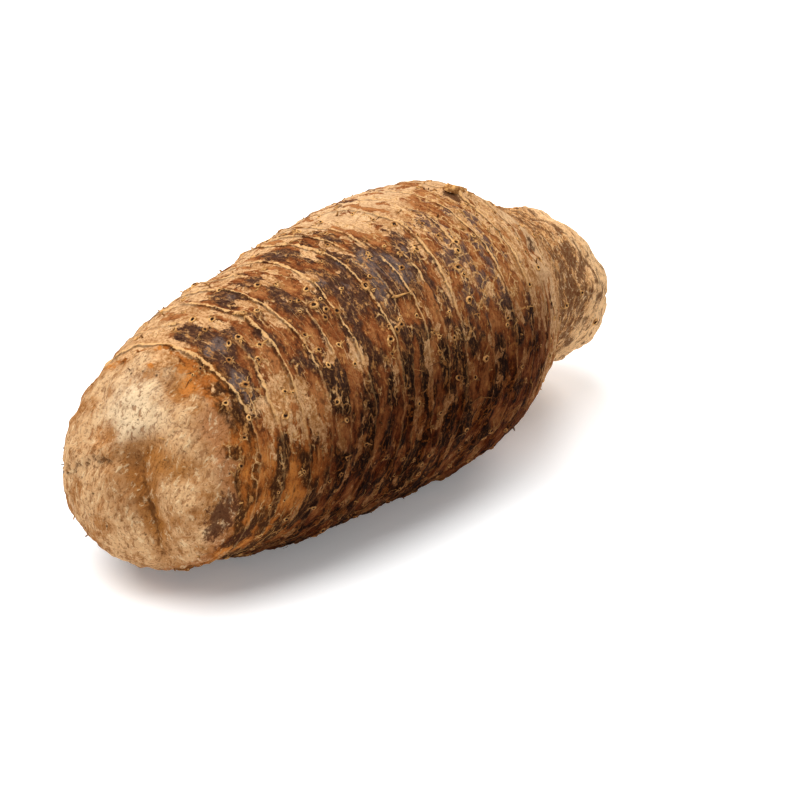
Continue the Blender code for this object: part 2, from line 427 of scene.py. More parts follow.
def base_end_relief(x, y, z, ragged):
    """The lumps, and the rim, groove and creases as bells across their lines; and the creases alone."""
    on_end = 1 - fade_in(x, *END_STOPS)
    groove_y = GROOVE_Y + GROOVE_BEND * (z - GROOVE_MIDDLE) ** 2 + 0.2 * ragged
    groove_run = between(z, GROOVE_STARTS, GROOVE_ENDS) * on_end
    rim_z = RIM_Z - RIM_SLOPE * (y - RIM_Y) + ragged
    rim_run = between(y, RIM_STARTS, RIM_ENDS) * on_end
    relief = RIM_HEIGHT * hump(z - rim_z, RIM_WIDTH) * rim_run
    plainest = 0.4 + 0.5 * hump(z - CREASE_Z, CREASE_LENGTH)
    crease = hump(y - groove_y, CREASE_WIDTH) * groove_run * plainest
    crease += RIM_CREASE * hump(z - rim_z + RIM_CREASE_BELOW, RIM_CREASE_WIDTH) * rim_run
    depth = GROOVE_DEPTH + EXTRA_DEPTH * fade_in(z, *GROOVE_DEEPENS)
    relief -= depth * hump(y - groove_y, GROOVE_WIDTH) * groove_run + CREASE_DEPTH * crease
    return relief + lumps(x, y, z, BASE_LUMPS), crease


# The crown end: a bud scar on the shoulder, a pitted neck, and a blunt ribbed knob where the leaves were
# trimmed, with the stumps of the last ones as low steps round its tip.
CROWN_LUMPS = [
    (156, -9, 91, 5, 1.8),
    (169, -32, 72, 5, -3.4),
    (164, -22, 82, 4, -1.0),
    (166, -40, 62, 4, -1.0),
]

# The knob's middle; its ribs, as share of their height, times round and phase, and where they fade in from
# the neck and from the tip; and the steps on the tip, round a low bump
KNOB_Y, KNOB_Z, TIP_Z = -5, 40, 39
RIB_HEIGHT, RIBS = 0.5, [(1, 9, 0.6), (0.6, 14, -1.0)]
RIBS_FROM_NECK, RIBS_FROM_TIP = (182, 198), (0, 12)
TIP_STARTS = (LENGTH - 12, LENGTH - 5)
STUMP_HEIGHT, STUMP_SPACING = 0.7, 7
TIP_HEIGHT, TIP_WIDTH = 2.5, 7


def crown_relief(x, y, z):
    """The lumps, ribs as sines round the knob, and stumps as a cosine off its middle; and the gutters, for
    painted shade.
    """
    relief = lumps(x, y, z, CROWN_LUMPS)
    turn = np.arctan2(z - KNOB_Z, y - KNOB_Y)
    ribs = sum(share * np.sin(times * turn + phase) for share, times, phase in RIBS)
    relief += RIB_HEIGHT * ribs * fade_in(x, *RIBS_FROM_NECK) * fade_in(LENGTH - x, *RIBS_FROM_TIP)
    from_tip = np.hypot(y - KNOB_Y, z - TIP_Z)
    stumps = np.cos(2 * np.pi * from_tip / STUMP_SPACING)
    on_tip = fade_in(x, *TIP_STARTS)
    relief += (STUMP_HEIGHT * stumps + TIP_HEIGHT * hump(from_tip, TIP_WIDTH)) * on_tip
    return relief, (0.5 - 0.5 * stumps) * on_tip


# The finished skin: one closed surface over the whole corm, with each ring, plate and hollow in its shape,
# flat where the belly rests. Values for its colours lie on its points.
SKIN_ROWS, SKIN_COLUMNS = 400, 248
PROFILE_STEPS = 6000
RING_CROWDING, RING_CROWD_WIDTH = 1.2, 2.5

# Spots of one colour, as the worn ones are given: an orange belt low on the side, cream cork on the neck and
# top that is partly a painted highlight, a lace of tan cracks on the shoulder, stains on the base end, and
# painted shade beside the bud scar and in the neck pit
LOWER_BELT = [(36, 192, 13, 26, 1.0)]
SPOTS = {
    "cream_and_highlight": [(160, 112, 9, 44, 0.75), (120, 70, 34, 20, 0.8), (60, 55, 30, 14, 0.5)],
    "lace": [(131, 112, 24, 34, 1.0)],
    "stain_and_shade": [
        (16, 181, 4, 8, 1.0), (24, 201, 6, 3, 0.8), (139, 100, 1.6, 3.5, 1.6), (162, 136, 3.0, 3.4, 0.75),
    ],
}

# The same on the base end, as its lumps are given: pale on top, partly bleached and partly a painted
# highlight, orange under the torn rim, and brown with painted shade where the groove is deepest
END_SPOTS = {
    "bleach_and_highlight": [(15, 6, 64, 15, 1.0), (9, 0, 58, 8, 0.5)],
    "orange": [(6, 11, 52, 6, 0.9)],
    "brown_and_shade": [(4, -5, 43, 12, 1.0)],
}

# Where each kind of skin starts and stops, in millimetres along
BALD_STOPS, SIDE_STARTS, BELT_STOPS, KNOB_STARTS = (17, 24), (20, 26), (26, 28), (170, 177)
RUSTY_STARTS, SHADE_STARTS, SHADE_STOPS = (10, 19), (22, 58), (140, 175)

# And in degrees round, where the painted shade stops with the low flank that it lies on
RUSTY_FROM, RUSTY_TO = (108, 132), (230, 300)
LOW_FROM, SHADE_FROM, LOW_TO = (128, 158), (136, 176), (290, 340)

# How far plates stand out and bared cork lies in, in millimetres, and how whole or bare the skin is there
PLATE_HEIGHT, PLATE_EDGE = 0.3, (0.3, 0.6)
BARE_DEPTH, BARE_EDGE = 0.25, (0.9, 1.2)

# Relief stands out from a spine through the body's middle, which stops this far from each end
SPINE_END = 26


def row_places(rows):
    """Rows from the base end to the crown, at even steps of the profile's length, closer on the rings."""
    along = np.linspace(0, LENGTH, PROFILE_STEPS)
    half_width, half_height, _, _ = section(along)
    profile = np.hypot(np.diff(along), np.diff((half_width + half_height) / 2))
    middle = (along[1:] + along[:-1]) / 2
    crowding = sum(RING_CROWDING * hump(middle - place - 0.5, RING_CROWD_WIDTH) for place, _ in RINGS)
    travelled = np.concatenate([[0], np.cumsum(profile * (1 + crowding))])
    return np.interp(np.linspace(0, travelled[-1], rows), travelled, along)


def on_table(points):
    """The same points, with any below the table raised to it."""
    points[..., 2] = np.maximum(points[..., 2], 0)
    return points


def grown_skin(along, around):
    """Points of the finished skin, and the values of its colours, from the body and all its relief."""
    points = smooth_body(along, around)
    x, y, z = np.moveaxis(points, -1, 0)
    ragged = 0.12 * cloud(points / 2.2, 2, seed=90)
    passed, off_ring, shows = ring_values(along + ragged, around)
    paper, cork = skin_wear(along, around, points, passed)
    halo, mound, near_scar = scar_values(along, around)
    side = fade_in(along, *SIDE_STARTS)
    turn = np.degrees(around) % 360
    lower_belt = patches(along, around, LOWER_BELT)
    cork += 1.3 * halo * side - 1.2 * lower_belt
    base_end, crease = base_end_relief(x, y, z, 10 * ragged)
    crown, stump_gutter_shade = crown_relief(x, y, z)
    # How strongly the painted shade and browner cork show in the base end's hollows, by height
    hollow_shade_shows = 0.4 + 0.6 * fade_in(z, 20, 36) - 0.5 * fade_in(z, 50, 57)
    values = {name: patches(along, around, spots) for name, spots in SPOTS.items()}
    values |= {name: lumps(x, y, z, spots) for name, spots in END_SPOTS.items()}
    values |= dict(
        along=along, passed=passed, off_ring=off_ring, ring_shows=shows, paper=paper, cork=cork,
        near_scar=near_scar, crease=crease, stump_gutter_shade=stump_gutter_shade,
        bald=1 - fade_in(along + 1.2 * cloud(points / 6, 3, seed=70), *BALD_STOPS),
        hollow_brown_and_shade=np.clip(-base_end / 3, 0, 1) * hollow_shade_shows,
        rusty=fade_in(along, *RUSTY_STARTS) * between(turn, RUSTY_FROM, RUSTY_TO),
        belt=np.maximum(1 - fade_in(along, *BELT_STOPS), lower_belt),
        low=between(turn, LOW_FROM, LOW_TO),
        shade=between(turn, SHADE_FROM, LOW_TO) * between(along, SHADE_STARTS, SHADE_STOPS),
        knob=fade_in(along, *KNOB_STARTS),
    )
    spine_x = np.clip(x, SPINE_END, LENGTH - SPINE_END)
    _, _, spine_y, spine_z = section(spine_x)
    outward = points - np.stack([spine_x, spine_y, spine_z], axis=-1)
    outward /= np.linalg.norm(outward, axis=-1, keepdims=True)
    relief = unevenness(along, around) + ring_relief(along + ragged, around) + base_end + crown
    plates = PLATE_HEIGHT * fade_in(paper, *PLATE_EDGE) - BARE_DEPTH * fade_in(cork, *BARE_EDGE)
    relief += side * plates + mound
    dented = cloud(points / 9, 3, seed=20)
    wrinkled = cloud(running_round(along, points, 2.4) / 3.2, 2, seed=95)
    pitted = cloud(points / 2.8, 2, seed=30)
    relief += side * (0.15 * dented + 0.11 * wrinkled)
    relief += (1 - side) * (0.4 * dented + 0.12 * pitted)
    return on_table(points + outward * relief[..., None]) * MM + BASE_END, values


def closed_mesh(name, points, values, material):
    """Closed pieces in one mesh, each a grid whose rows go round and whose end rows are one point each."""
    count, rows, columns, _ = points.shape
    at = np.arange(rows * columns).reshape(rows, columns) - columns + 1
    at[0], at[-1] = 0, (rows - 2) * columns + 1
    beside = np.roll(at, -1, axis=1)
    quads = np.stack([at[:-1], beside[:-1], beside[1:], at[1:]], axis=-1)
    starts = np.arange(count)[:, None, None] * (at[-1, 0] + 1)

    def on_every_piece(faces):
        """One piece's faces, repeated for each piece from where its points start."""
        return (starts + faces).reshape(-1, faces.shape[-1]).tolist()

    def once(grid):
        """A grid's numbers in the mesh's order, with each end row taken once."""
        first, middle, last = grid[:, 0, :1], grid[:, 1:-1], grid[:, -1, :1]
        middle = middle.reshape(count, -1, *grid.shape[3:])
        return np.concatenate([first, middle, last], axis=1).reshape(-1, *grid.shape[3:])

    faces = on_every_piece(quads[0][:, [0, 2, 3]]) + on_every_piece(quads[-1][:, [0, 1, 2]])
    faces += on_every_piece(quads[1:-1].reshape(-1, 4))
    mesh = bpy.data.meshes.new(name)
    mesh.from_pydata(once(points).tolist(), [], faces)
    for label, numbers in values.items():
        mesh.attributes.new(label, "FLOAT", "POINT").data.foreach_set("value", once(numbers).astype("f"))
    mesh.shade_smooth()
    mesh.materials.append(material)
    piece = bpy.data.objects.new(name, mesh)
    bpy.context.scene.collection.objects.link(piece)
    return piece


def paint(code):
    """A colour in the shader's linear numbers, from red, green and blue written in hexadecimal."""
    parts = [int(code[i : i + 2], 16) / 255 for i in (0, 2, 4)]
    return (*[((part + 0.055) / 1.055) ** 2.4 if part > 0.04 else part / 12.92 for part in parts], 1)


class Wire:
    """A node's output in a material: its operators add Math nodes, and node() adds any other."""

    def __init__(self, tree, socket=None):
        self.tree = tree
        self.socket = socket

    def node(self, kind, settings, inputs, output=0):
        """Adds a node, sets it up, gives its sockets values, paints or links, and returns an output."""
        made = self.tree.nodes.new("ShaderNode" + kind)
        for name, value in settings.items():
            setattr(made, name, value)
        for name, value in inputs.items():
            if isinstance(value, Wire):
                self.tree.links.new(value.socket, made.inputs[name])
            else:
                made.inputs[name].default_value = paint(value) if isinstance(value, str) else value
        return Wire(self.tree, made.outputs[output])

    def maths(self, operation, *others):
        """A Math node on this and any others."""
        return self.node("Math", {"operation": operation}, dict(enumerate((self, *others))))

    def __add__(self, other):
        return self.maths("ADD", other)

    __radd__ = __add__

    def __mul__(self, other):
        return self.maths("MULTIPLY", other)

    __rmul__ = __mul__

    def __sub__(self, other):
        return self.maths("SUBTRACT", other)

    def __rsub__(self, other):
        return (self * -1).maths("ADD", other)

    def __abs__(self):
        return self.maths("ABSOLUTE")

    def step(self, start, end):
        """0 before start, 1 after end, and a smooth step between; it falls where end is below start."""
        inputs = {"Value": self, "From Min": start, "From Max": end}
        return self.node("MapRange", {"interpolation_type": "SMOOTHSTEP"}, inputs)

    def swing(self, size):
        """Noise, which lies about a half, made to swing about 0."""
        return (self - 0.5) * size

    def mixed(self, first, second):
        """The first colour where this is 0 and the second where it is 1."""
        return self.node("Mix", {"data_type": "RGBA"}, {0: self, 6: first, 7: second}, output=2)

    def under(self, *layers):
        """This colour with others laid over it in turn, each given as its share and its colour."""
        colour = self
        for share, over in layers:
            colour = share.mixed(colour, over)
        return colour

    def value(self, name):
        """A value that lies on the mesh's points."""
        return self.node("Attribute", {"attribute_name": name}, {}, output=2)

    def vector(self, operation, first, second):
        """A Vector Math node on two vectors."""
        return self.node("VectorMath", {"operation": operation}, {0: first, 1: second})

    def noise(self, place, scale, detail, roughness, distortion=0.0, output=0):
        """Noise about a half at a place; its scale is in cells for each millimetre."""
        inputs = {"Vector": place, "Scale": scale, "Detail": detail, "Roughness": roughness}
        inputs["Distortion"] = distortion
        return self.node("TexNoise", {}, inputs, output)

    def feed(self, shader, name):
        """Links this to one of the shader's sockets."""
        self.tree.links.new(self.socket, shader.inputs[name])


def set_inputs(node, **numbers):
    """Sets sockets of a node, each by its label with underscores for spaces."""
    for label, number in numbers.items():
        node.inputs[label.replace("_", " ")].default_value = number


def new_material(name):
    """A material, its shader, a wire to start from, and places on the object in millimetres."""
    material = bpy.data.materials.new(name)
    material.use_nodes = True
    wire = Wire(material.node_tree)
    place = wire.vector("MULTIPLY", wire.node("TexCoord", {}, {}, output=3), (1000, 1000, 1000))
    return material, material.node_tree.nodes["Principled BSDF"], wire, place


# What is left of red, green and blue under the painted shade low on the flank, which also stands for skin
# that is darker there
SHADED = (0.22, 0.115, 0.055)


def corm_skin_material():
    """Rust bark, dark paper plates over it, tan cork where it is bared, then splits, stains, rings and
    painted shade.
    """
    material, shader, wire, place = new_material("corm_skin")
    across, height = [wire.node("SeparateXYZ", {}, {0: place}, output=n) for n in (1, 2)]
    names = ("along", "passed", "off_ring", "ring_shows", "bald", "belt", "shade", "knob", "low", "cream_and_highlight")
    along, passed, off_ring, shows, bald, belt, shade, knob, low, cream_and_highlight = map(wire.value, names)

    def on_skin(stretch):
        """Millimetres along the skin, times the stretch, with the place across and up."""
        return wire.node("CombineXYZ", {}, {0: along * stretch, 1: across, 2: height})

    wobble = wire.noise(on_skin(1.0), 0.14, 4.0, 0.6).swing(1.4)
    off_ring = off_ring + wobble + wire.noise(on_skin(1.0), 1.1, 2.0, 0.7).swing(0.5)
    band = (passed + wobble * 0.1).maths("FLOOR")
    shift = wire.node("TexWhiteNoise", {"noise_dimensions": "1D"}, {"W": band}, output=1)
    shift = wire.vector("MULTIPLY", shift, (90, 90, 90))

    def in_band(stretch):
        """The same, thrown to another place in each band, so that a pattern stops at the rings."""
        return wire.vector("ADD", on_skin(stretch), shift)

    fray = wire.noise(in_band(1.6), 0.35, 5.0, 0.72)
    blotch = wire.noise(in_band(2.2), 0.1, 4.0, 0.55)
    scuff = wire.noise(in_band(2.4), 0.28, 5.0, 0.74)
    streak = wire.noise(on_skin(3.0), 0.3, 4.0, 0.68)
    grain = wire.noise(on_skin(1.4), 0.9, 3.0, 0.72)
    scratch = wire.noise(on_skin(1.7), 0.5, 4.0, 0.76, 0.8)

    # Bark: worn to rust, and orange in the belts. Over it chocolate where its paper is whole, slate on the
    # wholest plates that is partly a painted sheen, nearly black ones low on the flank that are partly
    # painted shade, purple-brown ones in the shoulder's lace, dark and tan streaks round it, dark and tan
    # grain, and tan scuffs
    dark = wire.value("paper") + fray.swing(3.4) + blotch.swing(5.0)
    whole, plate = dark.step(-0.4, 0.6), dark.step(0.2, 1.3)
    worn, rust = belt.mixed("9d6338", "bc7434"), belt.mixed("7c4321", "985522")
    bark = dark.step(-1.8, -0.3).mixed(worn, rust).under(
        (whole, belt.mixed("58311c", "5f3413")),
        (plate, belt.mixed("482d20", "422510")),
        (dark.step(2.2, 3.4) * (1 - low) * 0.75, "665650"),
        (plate * low * (1 - belt) * 0.8, "1e0e05"),
        (whole * wire.value("lace") * 0.5, "7a5e52"),
        (streak.step(0.48, 0.35) * 0.55, "28130b"),
        (streak.step(0.53, 0.64) * 0.4, "a87040"),
        (grain.step(0.46, 0.35) * 0.4, "1d0f08"),
        (grain.step(0.54, 0.66) * 0.25, "b98450"),
        (scuff.step(0.56, 0.62) * 0.7, "b9824a"),
    )

    # Tan cork, cream on the neck and top, partly as a painted highlight, with brown and pale scratches and
    # brown grain, bared most in strips on the base end's side of the rings
    strip = off_ring.step(-3.4, -0.4) * off_ring.step(0.3, 0.0)
    strip = strip * wire.noise(in_band(0.8), 0.08, 2.0, 0.5).step(0.45, 0.6)
    bared = wire.value("cork") + wire.noise(in_band(2.0), 0.3, 5.0, 0.76).swing(6.0) + strip * 1.6
    calm = 1 - cream_and_highlight * 0.4
    cork = (blotch * 0.5 + grain * 0.5).step(0.4, 0.6).mixed("a06e3f", "d4a575").under(
        (cream_and_highlight * 0.65, "e2bd92"),
        (scratch.step(0.51, 0.60) * calm * 0.48, "74441c"),
        (scratch.step(0.44, 0.36) * 0.28, "f0d4a6"),
        (grain.step(0.47, 0.37) * calm * 0.4, "74441c"),
    )

    # The knob: a paler tip, dark brown mottling round it, dark and pale scratches, and painted shade in the
    # stumps' gutters
    tip = (along + blotch.swing(36)).step(186, 204)
    mottled = wire.noise(on_skin(2.4), 0.17, 5.0, 0.72) - tip * 0.15 + 0.04 - height.step(54, 66) * 0.06
    stump_gutter_shade = (wire.value("stump_gutter_shade") + scratch.swing(2.4)).step(0.6, 1.1)
    knob_colour = grain.step(0.4, 0.6).mixed("a0683a", "d6a46c").under(
        (tip * 0.8, "eec391"),
        (mottled.step(0.42, 0.52) * 0.8, "53301f"),
        (scratch.step(0.54, 0.60) * 0.55, "5f381d"),
        (scratch.step(0.44, 0.37) * 0.5, "f2cf9f"),
        (stump_gutter_shade * 0.6, "855632"),
    )

    # The base end: pale cork, palest on top with a painted highlight, painted shade over browner cork in the
    # hollows and about the groove, rusty at the edge and orange under the torn rim, then dark and pale
    # marks, specks, painted shade in the creases, and pits
    mottle = wire.noise(place, 0.1, 5.0, 0.68)
    mark = wire.noise(wire.vector("MULTIPLY", place, (1.0, 2.2, 1.0)), 0.3, 4.0, 0.74, 0.5)
    speck = wire.noise(place, 0.9, 3.0, 0.72)
    bleached_and_lit = (wire.value("bleach_and_highlight") + mottle.swing(2.2) + mark.swing(1.8)).step(0.2, 1.2)
    hollow_brown_and_shade = (wire.value("hollow_brown_and_shade") + mottle.swing(1.2)).step(-0.1, 0.6)
    browned_and_shaded = (wire.value("brown_and_shade") + mottle.swing(2.0)).step(0.3, 1.0)
    rusty = (wire.value("rusty") + mottle.swing(2.4)).step(0.3, 1.1)
    orange = (wire.value("orange") + mark.swing(3.0)).step(0.3, 1.0)
    crease_shade = (wire.value("crease") + (mark - 0.5)).step(0.2, 0.8)
    pit = wire.node("TexVoronoi", {}, {"Vector": place, "Scale": 0.22})
    pale = mottle.step(0.36, 0.64).mixed("a26e3f", "dcb384").under(
        (bleached_and_lit * 0.7, "eed6b0"),
        (hollow_brown_and_shade * 0.85, "a0662c"),
        (browned_and_shaded * 0.7, "8e5c30"),
        (rusty * 0.7, "96562a"),
        (orange * 0.7, "bb7c42"),
        (mark.step(0.53, 0.62) * 0.65, "7a4922"),
        (mark.step(0.45, 0.36) * 0.4, "efd6aa"),
        (speck.step(0.54, 0.63) * 0.55, "5f3718"),
        (crease_shade * 0.7, "4e2c15"),
        (pit.step(0.13, 0.07) * 0.8, "3a2414"),
    )
    on_end = (bald + fray.swing(1.2)).step(0.3, 0.75)
    on_side = 1 - on_end

    # Splits in the bark that bare its tan inside: a lace on the shoulder, and torn rims at the scars
    bend = wire.vector("MULTIPLY", wire.noise(on_skin(1.0), 0.35, 3.0, 0.7, output=1), (3, 3, 3))
    cells = {"Vector": wire.vector("ADD", on_skin(1.4), bend), "Scale": 0.24}
    cell = wire.node("TexVoronoi", {"feature": "DISTANCE_TO_EDGE"}, cells)
    lace_here = (blotch + wire.value("lace") * 0.14).step(0.55, 0.62)
    lace = (cell + grain.swing(0.16)).step(0.09, 0.04) * lace_here
    torn = (wire.value("near_scar") + mark.swing(2.4)).step(0.6, 0.8)
    split = lace.maths("MAXIMUM", torn) * on_side * (1 - knob)

    # Dark stains on the base end, painted shade beside the bud scar and in the neck pit, and short black
    # cracks that run with the rings
    stained_and_shaded = (wire.value("stain_and_shade") + fray.swing(2.6) + mark.swing(1.6)).step(0.35, 0.85)
    stained_and_shaded = stained_and_shaded * wire.value("stain_and_shade").step(0.0, 0.2)
    crack = abs(streak - 0.5).step(0.014, 0.005) * blotch.step(0.56, 0.62) * on_side

    # The rings' pale lips, each with a painted shadow line beside it, fainter on cream cork, and fainter low
    # on the flank as painted shade
    shown = (wire.noise(on_skin(0.3), 0.05, 3.0, 0.5) + shows * 0.45).step(0.55, 0.66)
    shown = shown * on_side * (1 - knob) * (1 - cream_and_highlight * 0.5) * (1 - low * 0.75)
    lip = (abs(off_ring) + mark.swing(1.8) + grain.swing(0.8)).step(0.42, 0.12) * shown
    ring_shadow_line = (off_ring + grain.swing(0.8)).step(-1.2, -0.8) * off_ring.step(-0.25, -0.5) * shown

    colour = bark.under(
        (bared.step(0.7, 1.25), cork),
        (knob, knob_colour),
        (on_end, pale),
        (split * 0.8, grain.step(0.4, 0.62).mixed("a8743f", "dcb27c")),
        (stained_and_shaded * 0.85, "442416"),
        (crack * 0.8, "140804"),
        (ring_shadow_line * 0.6, "1e0e06"),
        (lip * 0.85, "dcac72"),
    )
    # Painted shade low on the flank, over skin that is darker there too, made uneven by the blotches
    darker_and_shaded = shade * (blotch.step(0.42, 0.58) * 0.3 + 0.7)
    colour.under((darker_and_shaded, wire.vector("MULTIPLY", colour, SHADED))).feed(shader, "Base Color")

    # Whole plates are a little glossier than the rest, and the fine grain is felt as well as seen
    plates = {"Value": plate * (1 - low), "To Min": 0.9, "To Max": 0.55}
    wire.node("MapRange", {}, plates).feed(shader, "Roughness")
    set_inputs(shader, Specular_IOR_Level=0.03)
    raised = (streak * 1.4 + grain * 0.8) * (1 - bald) - (mark * 1.8 + speck * 0.8) * bald
    wire.node("Bump", {}, {"Strength": 1.0, "Distance": 0.0006, "Height": raised}).feed(shader, "Normal")
    return material


along, around = np.meshgrid(
    row_places(SKIN_ROWS), np.linspace(-np.pi, np.pi, SKIN_COLUMNS, endpoint=False), indexing="ij"
)
skin_points, skin_values = grown_skin(along, around)
one_piece = {name: numbers[None] for name, numbers in skin_values.items()}
skin = closed_mesh("corm_skin", skin_points[None], one_piece, corm_skin_material())
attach(skin, "root")
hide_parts("corm")

# The root scars: where fine roots broke away each left a little crater, a pale corky rim round a dark hole.
# They are fused to the skin all round the body, most of them beside the rings.
SCAR_SIDES = 12

# From under the skin up over the rim and into the hole: way out from the middle, and height over the skin,
# both in crater radii
SCAR_PROFILE = np.array([
    (0, -0.9), (1.5, -0.5), (1.25, 0.12), (1.0, 0.42), (0.8, 0.4), (0.55, 0.14), (0.3, 0.06), (0, 0.05),
])

# A slanting direction, crossed with the skin's own to find one that lies along it
ASLANT = (0.3, 0.1, 0.9)


def on_grid(grid, places, turns):
    """A grid's values at places along and turns round, blended from the four grid points about each."""
    row = np.interp(places, along[:, 0], np.arange(SKIN_ROWS))
    column = (turns + np.pi) / (2 * np.pi) * SKIN_COLUMNS
    i, j = np.clip(row.astype(int), 0, SKIN_ROWS - 2), np.floor(column).astype(int)
    up, over = (row - i)[..., None], (column - j)[..., None]
    j, k = j % SKIN_COLUMNS, (j + 1) % SKIN_COLUMNS
    near = grid[i, j] * (1 - over) + grid[i, k] * over
    far = grid[i + 1, j] * (1 - over) + grid[i + 1, k] * over
    return near * (1 - up) + far * up


def skin_shade(places, turns):
    """How far the skin is darkened by its painted shade at places along and turns round."""
    return on_grid(skin_values["shade"][..., None], places, turns)[..., 0]


def unit(vectors):
    """The same directions, each one long."""
    return vectors / np.linalg.norm(vectors, axis=-1, keepdims=True)


skin_along_step = np.gradient(skin_points, axis=0)
skin_round_step = np.roll(skin_points, -2, axis=1) - np.roll(skin_points, 2, axis=1)
skin_out = np.cross(skin_round_step, skin_along_step)
skin_out[[0, -1]] = [(-1, 0, 0)], [(1, 0, 0)]
skin_out = unit(skin_out)


def scar_craters():
    """The profile turned round each scar on the skin's own plane, with its rim uneven by two sines."""
    draw = np.random.default_rng(6)
    places, turns, radii = SCARS.T[:3]
    middle, out = on_grid(skin_points, places, turns), on_grid(skin_out, places, turns)
    first = unit(np.cross(out, ASLANT))
    second = np.cross(out, first)
    angle = np.linspace(0, 2 * np.pi, SCAR_SIDES, endpoint=False)
    phase = draw.uniform(0, 2 * np.pi, (len(SCARS), 2, 1))
    uneven = 1 + 0.12 * np.sin(2 * angle + phase[:, 0]) + 0.08 * np.sin(3 * angle + phase[:, 1])
    rim = 0.8 + 0.35 * np.sin(angle + phase[:, 1])
    from_middle, rise = np.moveaxis(SCAR_PROFILE[None, :, None], -1, 0)
    reach = from_middle * uneven[:, None] * radii[:, None, None]
    rise = np.where(rise > 0, rise * rim[:, None], rise) * radii[:, None, None]
    points = (
        middle[:, None, None]
        + reach[..., None] * MM * np.cos(angle)[:, None] * first[:, None, None]
        + reach[..., None] * MM * np.sin(angle)[:, None] * second[:, None, None]
        + rise[..., None] * MM * out[:, None, None]
    )
    values = {"from_middle": from_middle, "shade": skin_shade(places, turns)[:, None, None]}
    shape = points.shape[:-1]
    return on_table(points), {name: np.broadcast_to(numbers, shape) for name, numbers in values.items()}


def finish_dry(shader, wire, colour):
    """Gives a dull shader its colour, darkened by the skin's painted shade where it lies."""
    darker_and_shaded = wire.value("shade") * 0.7
    colour.under((darker_and_shaded, wire.vector("MULTIPLY", colour, SHADED))).feed(shader, "Base Color")
    set_inputs(shader, Roughness=0.9, Specular_IOR_Level=0.1)


def scar_material():
    """Painted shade in the shallow hole, brown on its wall, and pale on the rim and outside."""
    material, shader, wire, place = new_material("root_scar")
    out = wire.value("from_middle") + wire.noise(place, 0.9, 3.0, 0.7).swing(0.5)
    hole_shade_and_wall = out.step(0.35, 0.6).mixed("150a05", "4e2f1a")
    rim = wire.noise(place, 0.3, 3.0, 0.8).step(0.4, 0.6).mixed("8a5a2e", "d3a062")
    finish_dry(shader, wire, out.step(0.62, 0.76).mixed(hole_shade_and_wall, rim))
    return material


scars = closed_mesh("root_scars", *scar_craters(), scar_material())
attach(scars, "root")

# The dried roots: threads that creep over the skin, most of them low on the flank, short broken stubs that
# stand up from it, and shreds of skin torn open round each scar. All are rooted under the skin.
ROOT_SIDES = 5
DRIFT = 0.3

# Threads: how many, their places along, turn and its spread in degrees, step, lift at the tip and radius
THREADS, THREAD_STEPS = 64, 14
THREAD_PLACES, THREAD_TURNS, THREAD_STEP = (26, 172), (212, 36), (0.3, 1.3)
THREAD_LIFT, THREAD_RADIUS = (0, 1.2), (0.08, 0.18)

# A broken piece of root that lies on the flank: place along, turn and heading in degrees, step, radius
LYING_ROOT = (85, 128, 12, 0.62, 0.5)

# Shreds: how many at each scar, their shortest length and what the longest add, lift at the tip and radius
SHREDS_EACH, SHRED_STEPS = 5, 6
SHRED_LENGTH, SHRED_EXTRA = 0.4, 2.2
SHRED_LIFT, SHRED_RADIUS, SHRED_FLATNESS = (0, 0.4), (0.2, 0.5), 0.4

# Stubs: how many, their places along, length, lean, radius, and how deep they are rooted; then the profile
# from root to broken end, as shares of the length and the radius
STUBS, STUB_PLACES = 170, (8, 178)
STUB_LENGTH, STUB_EXTRA, STUB_LEAN = 0.5, 1.3, 0.35
STUB_RADIUS, STUB_ROOT, STUB_CAP = (0.2, 0.42), 0.6, 0.02
STUB_RISE, STUB_GIRTH = np.array([0, 0, 0.35, 0.75, 1, 1]), np.array([0, 1.5, 1.0, 0.8, 0.7, 0])

# Stubs that show at the corm's outline: place along, turn in degrees, length
PLAIN_STUBS = np.array([
    (5, 325, 1.4), (6, 304, 1.4), (18, 46, 1.1), (48, 48, 1.4), (56, 51, 1.5), (73, 51, 1.0),
    (87, 52, 1.1), (112, 52, 0.9), (131, 58, 0.9),
])


def tubes(paths, radii, side, flatness=1.0):
    """Ellipses square to each path, flattened towards the side vector, which the path nowhere follows."""
    heading = unit(np.gradient(paths, axis=1))
    first = unit(np.cross(heading, side))
    second = np.cross(heading, first) * flatness
    angle = np.linspace(0, 2 * np.pi, ROOT_SIDES, endpoint=False)[:, None]
    ring = np.cos(angle) * first[:, :, None] + np.sin(angle) * second[:, :, None]
    return on_table(paths[:, :, None] + radii[:, :, None, None] * MM * ring)


def creeping(place, turn, heading, steps, lift, radii, flatness=1.0):
    """Tubes over the skin along the running sum of their steps, and how deep the skin's painted shade is at
    each point.
    """
    _, half_height, _, _ = section(place)
    places = place[:, None] + np.cumsum(steps * np.cos(heading), axis=1)
    turns = turn[:, None] + np.cumsum(steps * np.sin(heading), axis=1) / half_height[:, None]
    out = on_grid(skin_out, places, turns)
    paths = on_grid(skin_points, places, turns) + lift[..., None] * MM * out
    radii[:, [0, -1]] = 0
    points = tubes(paths, radii, out, flatness)
    return points, np.broadcast_to(skin_shade(places, turns)[..., None], points.shape[:-1])


def drifting(draw, count, steps):
    """Headings that start anywhere and drift a little at each step."""
    heading = draw.uniform(-np.pi, np.pi, count)[:, None]
    return heading + np.cumsum(draw.normal(0, DRIFT, (count, steps)), axis=1)


